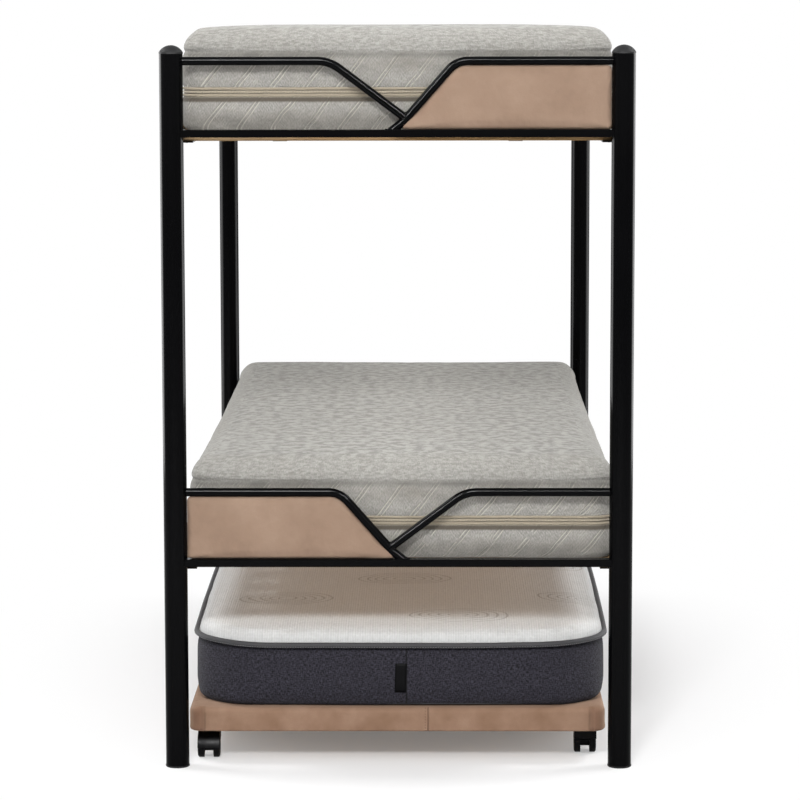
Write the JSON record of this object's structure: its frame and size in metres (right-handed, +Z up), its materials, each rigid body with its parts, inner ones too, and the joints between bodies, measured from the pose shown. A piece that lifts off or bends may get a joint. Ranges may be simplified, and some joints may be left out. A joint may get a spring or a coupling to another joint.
{
  "type": "triple bunk bed",
  "caption": "Triple bunk bed: two fixed bunks with quilted mattresses on round posts, and a third bed that rolls out sideways on swivel casters.",
  "frame": {"origin": "on the floor, at the middle of the bed's plan", "axes": "+X across the bed to the right as the picture shows it, +Y along the bed to its far end, +Z up"},
  "size_m": [1.0016, 2.0014, 1.583],
  "materials": {
    "post_steel": "gloss black powder coat",
    "frame_steel": "gloss black powder coat",
    "black_plastic": "matt",
    "suede": "short napped suede cloth",
    "slat_wood": "planed, clear lacquer",
    "timber": "sawn",
    "tape": "woven",
    "grey_quilt": "quilted knit",
    "white_knit": "ribbed knit over a charcoal side cloth",
    "caster_plastic": "moulded",
    "caster_steel": "zinc plated"
  },
  "bodies": {
    "frame": {"front_left_post": "post_steel", "front_right_post": "post_steel", "middle_front_long_bar": "frame_steel", "middle_front_lower_rail": "frame_steel", "middle_front_panel": "suede", "middle_front_short_bar": "frame_steel", "middle_left_side_rail": "frame_steel", "middle_mattress": "grey_quilt", "middle_rail_brackets": "frame_steel", "middle_rear_long_bar": "frame_steel", "middle_rear_lower_rail": "frame_steel", "middle_rear_panel": "suede", "middle_rear_short_bar": "frame_steel", "middle_right_side_rail": "frame_steel", "middle_slats": "slat_wood", "post_caps": "black_plastic", "post_feet": "black_plastic", "rear_left_post": "post_steel", "rear_right_post": "post_steel", "slat_tapes": "tape", "upper_front_long_bar": "frame_steel", "upper_front_lower_rail": "frame_steel", "upper_front_panel": "suede", "upper_front_short_bar": "frame_steel", "upper_left_side_rail": "frame_steel", "upper_mattress": "grey_quilt", "upper_rail_brackets": "frame_steel", "upper_rear_long_bar": "frame_steel", "upper_rear_lower_rail": "frame_steel", "upper_rear_panel": "suede", "upper_rear_short_bar": "frame_steel", "upper_right_side_rail": "frame_steel", "upper_slats": "slat_wood"},
    "roll_out_bed": {"base_cover": "suede", "base_timbers": "timber", "base_deck": "timber", "roll_out_mattress": "white_knit", "caster_stems": "caster_steel"},
    "front_left_caster": {"front_left_caster_housing": "caster_plastic", "front_left_caster_axle": "caster_steel"},
    "front_left_wheel_a": {"front_left_caster_wheel_a": "caster_plastic"},
    "front_left_wheel_b": {"front_left_caster_wheel_b": "caster_plastic"},
    "front_right_caster": {"front_right_caster_housing": "caster_plastic", "front_right_caster_axle": "caster_steel"},
    "front_right_wheel_a": {"front_right_caster_wheel_a": "caster_plastic"},
    "front_right_wheel_b": {"front_right_caster_wheel_b": "caster_plastic"},
    "rear_left_caster": {"rear_left_caster_housing": "caster_plastic", "rear_left_caster_axle": "caster_steel"},
    "rear_left_wheel_a": {"rear_left_caster_wheel_a": "caster_plastic"},
    "rear_left_wheel_b": {"rear_left_caster_wheel_b": "caster_plastic"},
    "rear_right_caster": {"rear_right_caster_housing": "caster_plastic", "rear_right_caster_axle": "caster_steel"},
    "rear_right_wheel_a": {"rear_right_caster_wheel_a": "caster_plastic"},
    "rear_right_wheel_b": {"rear_right_caster_wheel_b": "caster_plastic"}
  },
  "joints": [
    {"name": "roll_out", "type": "slide", "parent": "frame", "child": "roll_out_bed", "axis": [1, 0, 0], "range_m": [-0.95, 0.95]},
    {"name": "front_left_swivel", "type": "hinge", "parent": "roll_out_bed", "child": "front_left_caster", "pos_m": [-0.413, -0.863, 0.065], "axis": [0, 0, 1], "continuous": true},
    {"name": "front_left_spin_a", "type": "hinge", "parent": "front_left_caster", "child": "front_left_wheel_a", "pos_m": [-0.43, -0.888, 0.025], "axis": [1, 0, 0], "continuous": true},
    {"name": "front_left_spin_b", "type": "hinge", "parent": "front_left_caster", "child": "front_left_wheel_b", "pos_m": [-0.396, -0.888, 0.025], "axis": [1, 0, 0], "continuous": true},
    {"name": "front_right_swivel", "type": "hinge", "parent": "roll_out_bed", "child": "front_right_caster", "pos_m": [0.407, -0.863, 0.065], "axis": [0, 0, 1], "continuous": true},
    {"name": "front_right_spin_a", "type": "hinge", "parent": "front_right_caster", "child": "front_right_wheel_a", "pos_m": [0.424, -0.838, 0.025], "axis": [1, 0, 0], "continuous": true},
    {"name": "front_right_spin_b", "type": "hinge", "parent": "front_right_caster", "child": "front_right_wheel_b", "pos_m": [0.39, -0.838, 0.025], "axis": [1, 0, 0], "continuous": true},
    {"name": "rear_left_swivel", "type": "hinge", "parent": "roll_out_bed", "child": "rear_left_caster", "pos_m": [-0.413, 0.863, 0.065], "axis": [0, 0, 1], "continuous": true},
    {"name": "rear_left_spin_a", "type": "hinge", "parent": "rear_left_caster", "child": "rear_left_wheel_a", "pos_m": [-0.396, 0.888, 0.025], "axis": [1, 0, 0], "continuous": true},
    {"name": "rear_left_spin_b", "type": "hinge", "parent": "rear_left_caster", "child": "rear_left_wheel_b", "pos_m": [-0.43, 0.888, 0.025], "axis": [1, 0, 0], "continuous": true},
    {"name": "rear_right_swivel", "type": "hinge", "parent": "roll_out_bed", "child": "rear_right_caster", "pos_m": [0.407, 0.863, 0.065], "axis": [0, 0, 1], "continuous": true},
    {"name": "rear_right_spin_a", "type": "hinge", "parent": "rear_right_caster", "child": "rear_right_wheel_a", "pos_m": [0.39, 0.838, 0.025], "axis": [1, 0, 0], "continuous": true},
    {"name": "rear_right_spin_b", "type": "hinge", "parent": "rear_right_caster", "child": "rear_right_wheel_b", "pos_m": [0.424, 0.838, 0.025], "axis": [1, 0, 0], "continuous": true}
  ]
}
